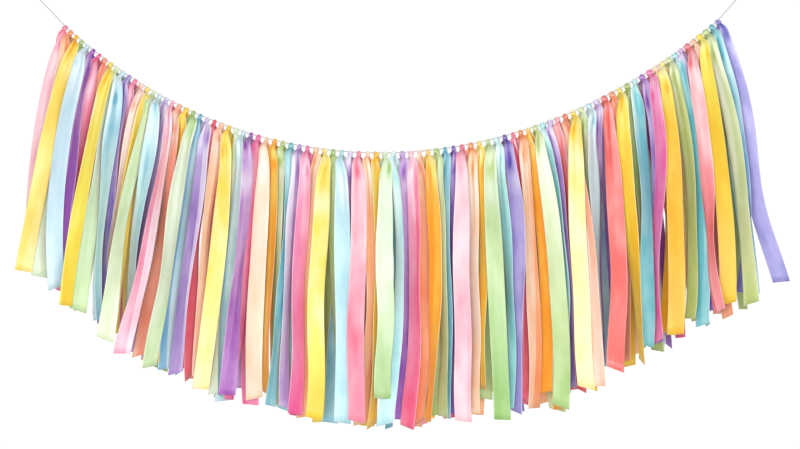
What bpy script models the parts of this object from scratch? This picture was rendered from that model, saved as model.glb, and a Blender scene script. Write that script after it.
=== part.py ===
"""Ribbon garland: ninety satin ribbons tied by their middles along a thin cord hung as a swag.

The garland hangs in the XZ plane and faces -Y, with +X to its right and +Z up. Its origin
is midway between the two loops that the cord hangs from. Sizes below are in millimetres.
"""
import math
import random
from collections import namedtuple

import bmesh
import bpy
import numpy as np
from mathutils import Matrix, Vector

MM = 0.001

# The cord and its two hanging loops
CORD_RADIUS = 0.7
LOOP_SPAN = 802.0
LOOP_LENGTH = 15.0
LOOP_WIDTH = 10.0
LOOP_KNOT_RADIUS = 2.2
LOOP_KNOT_STRETCH = 1.25
LOOP_KNOT_FLATNESS = 0.9
CORD_POINT_SPACING = 13.0
PART_GAP = 0.3

# The swag: its lowest point, and how far out and up from there each end knot is tied
LOW_X = -8.0
LOW_Z = -188.0
REACH_LEFT = 345.5
REACH_RIGHT = 370.5
RISE_LEFT = 138.5
RISE_RIGHT = 145.0
STEEPENING_LEFT = 0.126
STEEPENING_RIGHT = 0.064

# Distance between neighbouring knots, for each run of six ribbons from the left end
PITCH = (8.0, 8.1, 7.9, 8.4, 8.5, 9.2, 9.4, 9.5, 9.4, 9.6, 8.5, 9.4, 9.5, 8.4, 8.6)

# One ribbon and its knot
COLOURS = ("pink", "peach", "yellow", "green", "blue", "purple")
RIBBON_WIDTH = 19.0
RIBBON_THICKNESS = 1.0
GATHERED_WIDTH = 4.8
GATHERED_THICKNESS = 3.0
GATHER_START = 8.0
GATHER_LENGTH = 40.0
KNOT_HALF_WIDTH = 2.4
KNOT_END = 3.3
KNOT_DROP = 3.8
KNOT_END_SCALE = 0.62
KNOT_WAIST_SCALE = 0.78
TUNNEL_RADIUS = 1.3
KNOT_SECTION = ((0.0, 2.6), (-2.4, 1.3), (-3.4, -3.4), (0.0, -4.2), (3.4, -3.4), (2.4, 1.3))

# What differs a little from tail to tail: sideways waves, the slant of the cut, and the share
# of tails that are turned the other way round
WAVE_SPREAD = 3.0
SLANT_SPREAD = 2.5
TURNED_BACK = 0.2

# How a tail faces: degrees that it is turned away from the front, at FACE_AT of its length
FACE_AT = (0.0, 0.16, 0.45, 0.75, 1.0)
FACES = {
    "flat": (0, 24, 13, 10, 6),
    "half": (10, 44, 44, 42, 38),
    "edge": (25, 52, 60, 62, 58),
    "opening": (42, 57, 55, 35, 8),
    "closing": (0, 24, 47, 62, 65),
}

# The front tails, from the left end. middle and foot say how far the middle and the cut end
# hang to the side of the knot (+ is to the right), swing is how far an S-shaped tail bends to the
# right above its middle, and tails of a higher layer lie further out.
Tail = namedtuple("Tail", "middle foot length face layer swing", defaults=(0,))
FRONT = (
    # first run: pink, peach, yellow, green, blue, purple, and so on for each run
    Tail(-26, -32, 262, "flat", 0),
    Tail(-23, -37, 258, "half", 1),
    Tail(-31, -54, 261, "flat", 3),
    Tail(-28, -43, 260, "flat", 1),
    Tail(-28, -29, 266, "flat", 3),
    Tail(-22, -27, 255, "half", 2),
    # second run
    Tail(-22, -27, 250, "closing", 1),
    Tail(-23, -32, 258, "half", 0),
    Tail(-26, -45, 266, "half", 3),
    Tail(-21, -38, 266, "opening", 2),
    Tail(-18, -24, 270, "closing", 3),
    Tail(-18, -25, 268, "edge", 2),
    # third run
    Tail(-22, -34, 270, "edge", 1),
    Tail(-23, -37, 270, "edge", 1),
    Tail(-23, -36, 270, "half", 1),
    Tail(-30, -48, 273, "opening", 3),
    Tail(-21, -36, 268, "closing", 3),
    Tail(-24, -42, 272, "edge", 1),
    # fourth run
    Tail(-21, -51, 277, "opening", 3),
    Tail(-19, -42, 274, "opening", 2),
    Tail(-20, -38, 275, "half", 1),
    Tail(-24, -43, 280, "half", 3),
    Tail(-20, -38, 278, "half", 0),
    Tail(-16, -36, 279, "half", 3),
    # fifth run
    Tail(-20, -26, 281, "edge", 2),
    Tail(-18, -24, 276, "edge", 2),
    Tail(-12, -30, 286, "flat", 3),
    Tail(-6, -22, 288, "opening", 2),
    Tail(-14, -24, 288, "edge", 2),
    Tail(-11, -26, 283, "opening", 3),
    # sixth run
    Tail(-13, -31, 287, "edge", 2),
    Tail(-9, -13, 283, "flat", 3),
    Tail(-5, -10, 274, "edge", 2),
    Tail(-7, -2, 282, "edge", 1),
    Tail(-7, -23, 284, "edge", 2),
    Tail(-12, -15, 284, "edge", 2),
    # seventh run
    Tail(-9, -12, 290, "half", 3),
    Tail(-8, -12, 292, "half", 2),
    Tail(-7, -12, 292, "flat", 3),
    Tail(2, 12, 284, "edge", 1),
    Tail(2, 2, 294, "flat", 3),
    Tail(-3, 2, 286, "edge", 1),
    # eighth run
    Tail(-1, -5, 291, "flat", 3),
    Tail(5, -7, 295, "half", 2),
    Tail(3, -5, 297, "edge", 2),
    Tail(0, -1, 266, "flat", 3),
    Tail(6, -10, 296, "opening", 3),
    Tail(4, 0, 290, "half", 2),
    # ninth run
    Tail(4, -3, 299, "half", 3),
    Tail(6, 0, 296, "half", 2),
    Tail(8, -1, 295, "closing", 3),
    Tail(6, 8, 290, "edge", 1),
    Tail(1, 3, 292, "edge", 1),
    Tail(-2, 1, 290, "edge", 1),
    # tenth run
    Tail(-1, 2, 299, "flat", 3),
    Tail(2, 3, 293, "half", 2),
    Tail(3, 0, 267, "edge", 2),
    Tail(8, 15, 303, "flat", 3),
    Tail(13, 14, 294, "edge", 3),
    Tail(14, 10, 300, "half", 3, 3),
    # eleventh run
    Tail(12, 14, 290, "edge", 2),
    Tail(12, 14, 301, "half", 3),
    Tail(17, 20, 287, "half", 1),
    Tail(22, 26, 306, "flat", 3),
    Tail(20, 24, 290, "edge", 2),
    Tail(16, 22, 290, "edge", 1),
    # twelfth run
    Tail(16, 25, 296, "half", 1),
    Tail(24, 32, 295, "half", 2),
    Tail(4, 12, 299, "flat", 3),
    Tail(9, 12, 290, "edge", 1),
    Tail(6, 7, 281, "edge", 2),
    Tail(0, 3, 286, "edge", 1),
    # thirteenth run
    Tail(12, 9, 295, "flat", 3),
    Tail(11, 15, 291, "edge", 1),
    Tail(10, 23, 297, "closing", 3),
    Tail(14, 15, 287, "edge", 2),
    Tail(11, 11, 289, "half", 3),
    Tail(14, 16, 292, "edge", 2, 5),
    # fourteenth run
    Tail(8, 8, 294, "edge", 3, 5),
    Tail(0, -1, 284, "edge", 0),
    Tail(12, 13, 296, "flat", 3),
    Tail(23, 21, 285, "edge", 2),
    Tail(23, 30, 297, "half", 2),
    Tail(21, 31, 286, "edge", 2),
    # fifteenth run
    Tail(18, 34, 291, "closing", 3, 3),
    Tail(19, 36, 303, "edge", 1),
    Tail(20, 29, 293, "flat", 3),
    Tail(34, 46, 301, "half", 3),
    Tail(31, 30, 294, "closing", 3),
    Tail(33, 68, 293, "flat", 2, 5),
)

# Back tails follow the fan of the garland, apart from these, which show between the front ones
BACK_FAN = 0.11
MIDDLE_SHARE = 0.6
BACK_SPREAD = 8.0
BACK_LENGTH_SPREAD = 6.0
BACK_SEEN = {
    ("pink", 2): Tail(-27, -38, 262, "flat", 0),
    ("green", 4): Tail(-20, -36, 282, "half", 0),
    ("purple", 4): Tail(-30, -45, 275, "half", 0),
    ("yellow", 0): Tail(-24, -33, 270, "edge", 0),
    ("yellow", 6): Tail(3, 0, 286, "half", 0),
    ("pink", 5): Tail(-26, -36, 272, "flat", 0),
    ("blue", 7): Tail(-11, -14, 296, "flat", 0),
    ("pink", 10): Tail(-14, -13, 297, "half", 0),
    ("green", 10): Tail(-7, -4, 281, "flat", 0),
    ("green", 9): Tail(-1, -1, 289, "flat", 0),
    ("yellow", 11): Tail(21, 35, 307, "half", 0),
    ("yellow", 13): Tail(8, 9, 302, "half", 0),
    ("yellow", 14): Tail(8, 7, 295, "half", 0),
}

# How the tails are laid over each other, away from the cord
CLEARANCE = 0.7
CORD_DEPTH = 0.9
KNOT_REACH = 3.7
KNOT_DEPTH = 3.9
ROOT_DEPTH = 1.7
CELL_X = 1.0
CELL_Z = 2.0
CELL_MARGIN = 0.9
GRID_LEFT = -480.0
GRID_COLUMNS = 960
GRID_ROWS = 260
FREE_ROOT = 6.0
PUSH_SLOPE = 0.2
ROOT_PUSH_SLOPE = 0.75
ROOT_PUSH_LENGTH = 70.0
RETURN_SLOPE = 0.06
STATIONS = np.array((0.0, 0.04, 0.09, 0.16, 0.3, 0.5, 0.74, 1.0))

PALETTE = {
    "pink": (0.90, 0.30, 0.46),
    "peach": (0.95, 0.50, 0.32),
    "yellow": (0.98, 0.72, 0.12),
    "green": (0.55, 0.76, 0.32),
    "blue": (0.36, 0.70, 0.80),
    "purple": (0.48, 0.36, 0.74),
    "cord": (0.80, 0.76, 0.72),
}


def ease(u):
    """A soft step from 0 to 1."""
    u = np.clip(u, 0.0, 1.0)
    return u * u * (3.0 - 2.0 * u)


def cord_height(x):
    """Height of the hung cord at x, between the two end knots."""
    left = x < LOW_X
    reach = np.where(left, REACH_LEFT, REACH_RIGHT)
    rise = np.where(left, RISE_LEFT, RISE_RIGHT)
    steepening = np.where(left, STEEPENING_LEFT, STEEPENING_RIGHT)
    out = (x - LOW_X) / reach
    return LOW_Z + rise * ((1.0 - steepening) * out ** 2 + steepening * out ** 4)


def cord_curve():
    """The swag between the end knots: x, z and the length along it."""
    x = np.linspace(LOW_X - REACH_LEFT, LOW_X + REACH_RIGHT, 2001)
    z = cord_height(x)
    along = np.concatenate(([0.0], np.cumsum(np.hypot(np.diff(x), np.diff(z)))))
    return x, z, along


def knot_places():
    """x, z, and the cord's direction at each of the ninety knots."""
    x, z, along = cord_curve()
    gaps = np.repeat(PITCH, len(COLOURS))[:-1]
    place = np.concatenate(([0.0], np.cumsum(gaps)))
    place *= along[-1] / place[-1]
    knot_x = np.interp(place, along, x)
    knot_z = np.interp(place, along, z)
    slope = cord_height(knot_x + 0.5) - cord_height(knot_x - 0.5)
    return [(float(a), float(b), math.atan(float(c))) for a, b, c in zip(knot_x, knot_z, slope)]


def plan_tails(knots):
    """Every tail as a dictionary: where it starts, how it hangs, and its side (-1 is front)."""
    draw = random.Random(11)
    tails = []
    for number, (x, z, slope) in enumerate(knots):
        colour = COLOURS[number % len(COLOURS)]
        run = number // len(COLOURS) + 1
        start = (x + KNOT_DROP * math.sin(slope), z - KNOT_DROP * math.cos(slope))
        for side in (-1, 1):
            length = FRONT[number].length + draw.uniform(-1, 1) * BACK_LENGTH_SPREAD
            middle = MIDDLE_SHARE * (BACK_FAN * x + draw.uniform(-1, 1) * BACK_SPREAD)
            foot = BACK_FAN * x + draw.uniform(-1, 1) * BACK_SPREAD
            face = draw.choice(tuple(FACES))
            layer = draw.randrange(4)
            flip = draw.random() < TURNED_BACK
            row = Tail(middle, foot, length, face, layer)
            if side < 0:
                row = FRONT[number]
            elif (colour, run) in BACK_SEEN:
                row = BACK_SEEN[(colour, run)]
            tails.append({
                "number": number,
                "side": side,
                "row": row,
                "start": start,
                "hand": (1 if x < LOW_X else -1) * (-1 if flip else 1),
                "wave": draw.uniform(-1, 1) * WAVE_SPREAD,
                "waves": draw.uniform(1.0, 2.0),
                "slant": draw.uniform(-1, 1) * SLANT_SPREAD,
            })
    return tails


def tail_course(tail, share):
    """x and z down a tail at the given shares of its length."""
    row = tail["row"]
    across = 4.0 * share * (1.0 - share) * row.middle + share * (2.0 * share - 1.0) * row.foot
    across = across + row.swing * np.sin(2.0 * math.pi * share)
    across = across + tail["wave"] * share * np.sin(2.0 * math.pi * tail["waves"] * share)
    step = np.diff(across)
    run = row.length * np.diff(share)
    fall = np.sqrt(np.maximum(run ** 2 - step ** 2, 0.0))
    z = tail["start"][1] - np.concatenate(([0.0], np.cumsum(fall)))
    return tail["start"][0] + across, z


def opened(tail, share):
    """How far the pleats have opened: 0 in the gathered root, 1 where the ribbon is flat."""
    return ease((share * tail["row"].length - GATHER_START) / GATHER_LENGTH)


def tail_width(tail, share):
    """Gathered at the knot, and full width once the pleats have opened."""
    return GATHERED_WIDTH + (RIBBON_WIDTH - GATHERED_WIDTH) * opened(tail, share)


def tail_thickness(tail, share, cloth):
    """The gathered root is a thick bundle, and the open ribbon is one layer."""
    return GATHERED_THICKNESS + (cloth - GATHERED_THICKNESS) * opened(tail, share)


def tail_turn(tail, share):
    """Angle by which the ribbon is turned about its own length, in radians."""
    degrees = FACES[tail["row"].face]
    turn = np.zeros_like(share)
    for low, high, before, after in zip(FACE_AT, FACE_AT[1:], degrees, degrees[1:]):
        inside = (share >= low) & (share <= high)
        turn[inside] = (before + (after - before) * ease((share - low) / (high - low)))[inside]
    return np.radians(turn) * tail["hand"]


def lay_tails(tails, knots, share, cloth):
    """Give each tail its depth from the cord at each share, laid over the tails behind it."""
    column_x = GRID_LEFT + CELL_X * (np.arange(GRID_COLUMNS) + 0.5)
    row_z = -CELL_Z * np.arange(GRID_ROWS)
    for side in (-1, 1):
        surface = np.full((GRID_ROWS, GRID_COLUMNS), CORD_DEPTH)
        for x, z, _ in knots:
            near = (column_x[None, :] - x) ** 2 + (row_z[:, None] - z) ** 2 < KNOT_REACH ** 2
            surface[near] = KNOT_DEPTH
        on_side = [tail for tail in tails if tail["side"] == side]
        on_side.sort(key=lambda tail: (tail["row"].layer, -abs(tail["start"][0] - LOW_X)))
        for tail in on_side:
            lay_one(tail, surface, column_x, row_z, share, cloth)


def lay_one(tail, surface, column_x, row_z, share, cloth):
    """Lay one tail the way round that keeps it closer in, then raise the surface with it."""
    x, z = tail_course(tail, share)
    foot = z[-1] - abs(tail["slant"]) - CELL_Z
    rows = np.nonzero((row_z < z[0] - FREE_ROOT) & (row_z > foot))[0]
    at = row_z[rows]
    share_at = np.interp(-at, -z, share)
    half_width = 0.5 * tail_width(tail, share)
    half_thickness = 0.5 * tail_thickness(tail, share, cloth)
    offset = column_x[None, :] - np.interp(-at, -z, x)[:, None]
    after = np.clip(np.searchsorted(share, share_at), 1, len(share) - 1)
    down = (share_at - share[after - 1]) / (share[after] - share[after - 1])
    choices = []
    for hand in (tail["hand"], -tail["hand"]):
        tail["hand"] = hand
        turn = tail_turn(tail, share)
        half_x = np.interp(share_at, share, half_width * np.cos(turn))
        half_y = np.interp(share_at, share, half_width * np.sin(turn))
        skin_x = np.interp(share_at, share, half_thickness * np.abs(np.sin(turn)))
        skin_y = np.interp(share_at, share, half_thickness * np.cos(turn))
        slope = half_y / half_x
        twist = np.abs(np.diff(half_width * np.sin(turn)))[after - 1]
        half_depth = skin_y + skin_x * np.abs(slope) + 2.0 * twist * down * (1.0 - down)
        reach = half_x + skin_x
        covered = np.abs(offset) <= (reach + CELL_MARGIN)[:, None]
        relief = np.clip(offset, -reach[:, None], reach[:, None]) * slope[:, None]
        under = np.where(covered, surface[rows] + relief, -np.inf).max(axis=1)
        need = under + half_depth + CLEARANCE
        held = hang_over(need, after, down, at, z)
        choices.append((held[2:].mean(), hand, held, covered, relief, half_depth))
    choices.sort(key=lambda choice: choice[0])
    _, hand, held, covered, relief, half_depth = choices[0]
    tail.update(hand=hand, x=x, z=z, depth=held)
    laid = np.interp(share_at, share, held)[:, None] - relief + half_depth[:, None]
    surface[rows] = np.where(covered, np.maximum(surface[rows], laid), surface[rows])


def hang_over(need, after, down, at, z):
    """Depth at each station of a tail that rests on what lies behind it, without steps."""
    depth = need.copy()
    near_root = 1.0 - ease((z[0] - at) / ROOT_PUSH_LENGTH)
    push = PUSH_SLOPE + (ROOT_PUSH_SLOPE - PUSH_SLOPE) * near_root
    for i in range(len(depth) - 2, -1, -1):
        depth[i] = max(depth[i], depth[i + 1] - push[i] * CELL_Z)
    for i in range(1, len(depth)):
        depth[i] = max(depth[i], depth[i - 1] - RETURN_SLOPE * CELL_Z)
    held = np.interp(-z, -at, depth)
    held[0] = ROOT_DEPTH
    for i, station in enumerate(after):
        lack = need[i] - (1.0 - down[i]) * held[station - 1] - down[i] * held[station]
        if lack <= 0.0:
            continue
        if station == 1:
            held[1] += lack / max(down[i], 0.3)
            continue
        norm = (1.0 - down[i]) ** 2 + down[i] ** 2
        held[station - 1] += lack * (1.0 - down[i]) / norm
        held[station] += lack * down[i] / norm
    return held


def make_material(name, colour, roughness):
    """A plain Principled material."""
    material = bpy.data.materials.new(name)
    material.use_nodes = True
    shader = material.node_tree.nodes["Principled BSDF"]
    shader.inputs["Base Color"].default_value = (*colour, 1.0)
    shader.inputs["Roughness"].default_value = roughness
    shader.inputs["Metallic"].default_value = 0.0
    return material


def link_mesh(name, bm, materials, collection):
    """Turn a bmesh in millimetres into an object in metres."""
    bmesh.ops.recalc_face_normals(bm, faces=bm.faces)
    bmesh.ops.scale(bm, vec=(MM, MM, MM), verts=bm.verts)
    mesh = bpy.data.meshes.new(name)
    bm.to_mesh(mesh)
    bm.free()
    for material in materials:
        mesh.materials.append(material)
    item = bpy.data.objects.new(name, mesh)
    collection.objects.link(item)
    return item


def join_rings(bm, first, second, slot):
    """Faces between two rings with the same number of points."""
    count = len(first)
    for i in range(count):
        j = (i + 1) % count
        face = bm.faces.new((first[i], first[j], second[j], second[i]))
        face.material_index = slot


def join_tail_rings(bm, first, second, slot):
    """Join two four-cornered rings, both wide faces split the same way so that the wall stays even."""
    for i in range(4):
        j = (i + 1) % 4
        if i < 2:
            halves = ((first[i], first[j], second[j]), (first[i], second[j], second[i]))
        else:
            halves = ((first[i], first[j], second[i]), (first[j], second[j], second[i]))
        for corners in halves:
            bm.faces.new(corners).material_index = slot


def tail_rings(tail, share):
    """Corner points of a tail at each station but the root, which is the knot's own."""
    width = tail_width(tail, share)
    thickness = tail_thickness(tail, share, RIBBON_THICKNESS)
    turn = tail_turn(tail, share)
    rings = []
    for i in range(1, len(share)):
        side = tail["side"]
        centre = Vector((tail["x"][i], side * tail["depth"][i], tail["z"][i]))
        slant = tail["slant"] if i == len(share) - 1 else 0.0
        across = Vector((math.cos(turn[i]), -side * math.sin(turn[i]), 0.0)) * width[i] * 0.5
        out = Vector((math.sin(turn[i]), side * math.cos(turn[i]), 0.0)) * thickness[i] * 0.5
        drop = Vector((0.0, 0.0, slant))
        rings.append((
            centre - across + out - drop,
            centre + across + out + drop,
            centre + across - out + drop,
            centre - across - out - drop,
        ))
    return rings


def add_tail(bm, tail, root, share, slot):
    """Run a tail down from the four points of the knot that it grows out of."""
    last = root
    for corners in tail_rings(tail, share):
        ring = [bm.verts.new(corner) for corner in corners]
        join_tail_rings(bm, last, ring, slot)
        last = ring
    bm.faces.new(last).material_index = slot


def add_ribbon_pair(index, knots, tails, share, materials, collection):
    """Two neighbouring ribbons, their knots fused into one short bar with the cord's tunnel."""
    first = 2 * index
    ax, az, a_slope = knots[first]
    bx, bz, b_slope = knots[first + 1]
    half = 0.5 * math.hypot(bx - ax, bz - az)
    along = Vector((bx - ax, 0.0, bz - az)).normalized()
    up = Vector((-along.z, 0.0, along.x))
    centre = Vector(((ax + bx) * 0.5, 0.0, (az + bz) * 0.5))
    bar = (
        (-half - KNOT_END, KNOT_END_SCALE),
        (-half - KNOT_HALF_WIDTH, 1.0),
        (-half + KNOT_HALF_WIDTH, 1.0),
        (0.0, KNOT_WAIST_SCALE),
        (half - KNOT_HALF_WIDTH, 1.0),
        (half + KNOT_HALF_WIDTH, 1.0),
        (half + KNOT_END, KNOT_END_SCALE),
    )
    bm = bmesh.new()
    rings = []
    for place, scale in bar:
        rings.append([
            bm.verts.new(centre + along * place + Vector((0.0, y * scale, 0.0)) + up * z * scale)
            for y, z in KNOT_SECTION
        ])
    sides = len(KNOT_SECTION)
    for station, (here, after) in enumerate(zip(rings, rings[1:])):
        slot = 0 if station < 3 else 1
        for i in range(sides):
            if station in (1, 4) and i in (2, 3):
                continue
            j = (i + 1) % sides
            bm.faces.new((here[i], here[j], after[j], after[i])).material_index = slot
    tunnel = []
    for place in (bar[0][0], bar[-1][0]):
        ring = []
        for i in range(sides):
            angle = math.pi * (0.5 + 2.0 * i / sides)
            sideways = Vector((0.0, TUNNEL_RADIUS * math.cos(angle), 0.0))
            upwards = up * TUNNEL_RADIUS * math.sin(angle)
            ring.append(bm.verts.new(centre + along * place + sideways + upwards))
        tunnel.append(ring)
    join_rings(bm, rings[0], tunnel[0], 0)
    join_rings(bm, tunnel[0], tunnel[1], 0)
    join_rings(bm, tunnel[1], rings[-1], 1)
    for slot, station in ((0, 1), (1, 4)):
        left = rings[station]
        right = rings[station + 1]
        front, back = tails[2 * (first + slot)], tails[2 * (first + slot) + 1]
        add_tail(bm, front, (left[2], right[2], right[3], left[3]), share, slot)
        add_tail(bm, back, (left[4], right[4], right[3], left[3]), share, slot)
    colours = [COLOURS[(first + slot) % len(COLOURS)] for slot in (0, 1)]
    name = f"ribbons_{index + 1:02d}"
    return link_mesh(name, bm, [materials[colour] for colour in colours], collection)


def loop_place(side):
    """The hanging loop's far end, the place of its knot, and the lead's direction."""
    end_x = LOW_X + (REACH_RIGHT if side > 0 else -REACH_LEFT)
    end_z = float(cord_height(np.array(end_x)))
    far = Vector((side * LOOP_SPAN * 0.5, 0.0, 0.0))
    lead = (far - Vector((end_x, 0.0, end_z))).normalized()
    return far, far - lead * LOOP_LENGTH, lead


def add_loop(name, side, material, collection):
    """A small loop tied in the cord's end: a bent ring of cord with a knot at its foot."""
    far, knot, lead = loop_place(side)
    bpy.ops.mesh.primitive_torus_add(
        major_radius=LOOP_WIDTH * 0.5 * MM, minor_radius=CORD_RADIUS * MM,
        major_segments=28, minor_segments=8)
    loop = bpy.context.active_object
    loop.name = name
    loop.data.name = name
    angle = math.atan2(lead.z, lead.x)
    place = Matrix.Translation((knot + far) * 0.5 * MM)
    stretch = Matrix.Diagonal((LOOP_LENGTH / LOOP_WIDTH, 1.0, 1.0, 1.0))
    stand = Matrix.Rotation(math.radians(90.0), 4, "X")
    loop.data.transform(place @ Matrix.Rotation(-angle, 4, "Y") @ stand @ stretch)
    bpy.ops.mesh.primitive_uv_sphere_add(segments=14, ring_count=8, radius=LOOP_KNOT_RADIUS * MM)
    ball = bpy.context.active_object
    shape = Matrix.Diagonal((LOOP_KNOT_STRETCH, 1.0, LOOP_KNOT_FLATNESS, 1.0))
    ball.data.transform(Matrix.Translation(knot * MM) @ Matrix.Rotation(-angle, 4, "Y") @ shape)
    join = loop.modifiers.new("knot", "BOOLEAN")
    join.operation = "UNION"
    join.object = ball
    ball.hide_render = True
    ball.display_type = "WIRE"
    loop.data.materials.clear()
    loop.data.materials.append(material)
    for old in list(loop.users_collection):
        old.objects.unlink(loop)
    collection.objects.link(loop)
    return loop, ball


def cord_route():
    """Points of the cord from knot to knot of its loops, a few diameters apart."""
    x, z, along = cord_curve()
    count = int(along[-1] / CORD_POINT_SPACING) + 1
    at = np.linspace(0.0, along[-1], count)
    swag = [Vector((a, 0.0, b)) for a, b in zip(np.interp(at, along, x), np.interp(at, along, z))]
    ends = []
    for side, end in ((-1, swag[0]), (1, swag[-1])):
        far, knot, lead = loop_place(side)
        stop = knot - lead * (LOOP_KNOT_RADIUS * LOOP_KNOT_STRETCH + PART_GAP)
        ends.append([end.lerp(stop, share) for share in (0.25, 0.5, 0.75, 1.0)])
    return list(reversed(ends[0])) + swag + ends[1]


def add_cord(material, collection):
    """The cord as a bevelled curve of straight steps."""
    route = cord_route()
    curve = bpy.data.curves.new("cord", "CURVE")
    curve.dimensions = "3D"
    curve.bevel_depth = CORD_RADIUS * MM
    curve.bevel_resolution = 2
    curve.use_fill_caps = True
    spline = curve.splines.new("POLY")
    spline.points.add(len(route) - 1)
    for point, place in zip(spline.points, route):
        point.co = (*(place * MM), 1.0)
    curve.materials.append(material)
    cord = bpy.data.objects.new("cord", curve)
    collection.objects.link(cord)
    return cord


for item in list(bpy.data.objects):
    bpy.data.objects.remove(item, do_unlink=True)

garland = bpy.data.collections.new("ribbon_garland")
cutters = bpy.data.collections.new("loop_knots")
bpy.context.scene.collection.children.link(garland)
bpy.context.scene.collection.children.link(cutters)

satin = {colour: make_material(f"satin_{colour}", PALETTE[colour], 0.4) for colour in COLOURS}
twine = make_material("cord", PALETTE["cord"], 0.85)

all_knots = knot_places()
all_tails = plan_tails(all_knots)
lay_tails(all_tails, all_knots, STATIONS, RIBBON_THICKNESS)

for pair in range(len(all_knots) // 2):
    add_ribbon_pair(pair, all_knots, all_tails, STATIONS, satin, garland)
add_cord(twine, garland)
for loop_name, loop_side in (("left_loop", -1), ("right_loop", 1)):
    hanging_loop, loop_knot = add_loop(loop_name, loop_side, twine, garland)
    for holder in list(loop_knot.users_collection):
        holder.objects.unlink(loop_knot)
    cutters.objects.link(loop_knot)
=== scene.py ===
"""Highchair banner: ninety satin ribbons tied by their middles along a thin cord hung as a swag.

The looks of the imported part, in its own frame: +X runs from the left loop to the right one, the
front faces -Y and +Z is up. Sizes are in millimetres here, and every mesh is made in metres.
"""

import math
import random
from collections import namedtuple

import bpy
import numpy as np
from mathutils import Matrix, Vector


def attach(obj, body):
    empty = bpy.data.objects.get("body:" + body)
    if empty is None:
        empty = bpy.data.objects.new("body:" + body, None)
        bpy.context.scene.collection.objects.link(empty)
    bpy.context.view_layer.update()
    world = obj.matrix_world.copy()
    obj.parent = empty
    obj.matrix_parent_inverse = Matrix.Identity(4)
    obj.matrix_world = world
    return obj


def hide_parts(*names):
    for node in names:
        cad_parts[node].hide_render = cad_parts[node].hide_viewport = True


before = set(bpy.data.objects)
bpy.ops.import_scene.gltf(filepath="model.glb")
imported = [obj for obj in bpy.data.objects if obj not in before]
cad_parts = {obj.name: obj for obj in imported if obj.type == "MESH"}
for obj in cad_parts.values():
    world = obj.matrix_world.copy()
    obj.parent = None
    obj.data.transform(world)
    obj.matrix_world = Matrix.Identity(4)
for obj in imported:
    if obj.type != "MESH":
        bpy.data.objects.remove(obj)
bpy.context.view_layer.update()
MM = 0.001
scene = bpy.context.scene


# The camera stands straight in front of the banner, level with its middle, far enough back for
# a picture with hardly any perspective. The picture is 880 mm wide where the cord hangs.
PICTURE_CENTRE = Vector((13.75, 0.0, -266.75))
PICTURE_WIDTH = 880.0
LENS = 200.0
SENSOR_WIDTH = 36.0

camera_data = bpy.data.cameras.new("camera")
camera_data.lens = LENS
camera_data.sensor_width = SENSOR_WIDTH
camera_data.clip_start = 0.05
camera_data.clip_end = 50.0
camera = bpy.data.objects.new("camera", camera_data)
camera_distance = PICTURE_WIDTH * LENS / SENSOR_WIDTH
camera.location = (PICTURE_CENTRE - Vector((0.0, camera_distance, 0.0))) * MM
camera.rotation_euler = (math.radians(90.0), 0.0, 0.0)
scene.collection.objects.link(camera)
scene.camera = camera


# The cord: thin pale cotton, laid up from three strands. It sags from loop to loop along the
# line below, which also places the knots of the ribbons, and it ends in a tied loop each side.
CORD_RADIUS = 0.7
CORD_STRANDS = 3
CORD_LAY = 5.0
CORD_STEP = 0.6
CORD_SIDES = 12
STRAND_GROOVE = 0.3
CORD_POINT_SPACING = 13.0
CURVE_POINTS = 2001
LOOP_SPAN = 802.0
LOOP_LENGTH = 15.0
LOOP_WIDTH = 10.0
LOOP_KNOT_RADIUS = 2.2
LOOP_KNOT_STRETCH = 1.25
PART_GAP = 0.3
LOW_X = -8.0
LOW_Z = -188.0
REACH_LEFT = 345.5
REACH_RIGHT = 370.5
RISE_LEFT = 138.5
RISE_RIGHT = 145.0
STEEPENING_LEFT = 0.126
STEEPENING_RIGHT = 0.064
CORD_COLOUR = (0.66, 0.63, 0.60)
# painted shade: the colour of the grooves between the strands
CORD_GROOVE_SHADE_COLOUR = (0.30, 0.27, 0.25)
FUZZ_SCALE = 1800.0
FUZZ_STRENGTH = 0.4
BUMP_HEIGHT = 0.0001


def cord_height(x):
    """Height of the hung cord at x, between the two end knots."""
    left = x < LOW_X
    reach = np.where(left, REACH_LEFT, REACH_RIGHT)
    rise = np.where(left, RISE_LEFT, RISE_RIGHT)
    steepening = np.where(left, STEEPENING_LEFT, STEEPENING_RIGHT)
    out = (x - LOW_X) / reach
    return LOW_Z + rise * ((1.0 - steepening) * out ** 2 + steepening * out ** 4)


def running_total(steps):
    """The sum of the steps so far, from 0 on."""
    return np.concatenate(([0.0], np.cumsum(steps)))


def cord_curve():
    """The swag between the end knots: x, z and the length along it."""
    x = np.linspace(LOW_X - REACH_LEFT, LOW_X + REACH_RIGHT, CURVE_POINTS)
    z = cord_height(x)
    along = running_total(np.hypot(np.diff(x), np.diff(z)))
    return x, z, along


def loop_place(side):
    """The hanging loop's far end, the place of its knot, and the lead's direction."""
    end_x = LOW_X + (REACH_RIGHT if side > 0 else -REACH_LEFT)
    end_z = float(cord_height(np.array(end_x)))
    far = Vector((side * LOOP_SPAN * 0.5, 0.0, 0.0))
    lead = (far - Vector((end_x, 0.0, end_z))).normalized()
    return far, far - lead * LOOP_LENGTH, lead


def cord_route():
    """Points of the cord from knot to knot of its loops, the same as the solid's."""
    x, z, along = cord_curve()
    count = int(along[-1] / CORD_POINT_SPACING) + 1
    at = np.linspace(0.0, along[-1], count)
    swag = [Vector((a, 0.0, b)) for a, b in zip(np.interp(at, along, x), np.interp(at, along, z))]
    ends = []
    for side, end in ((-1, swag[0]), (1, swag[-1])):
        far, knot, lead = loop_place(side)
        stop = knot - lead * (LOOP_KNOT_RADIUS * LOOP_KNOT_STRETCH + PART_GAP)
        ends.append([end.lerp(stop, share) for share in (0.25, 0.5, 0.75, 1.0)])
    return list(reversed(ends[0])) + swag + ends[1]


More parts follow.
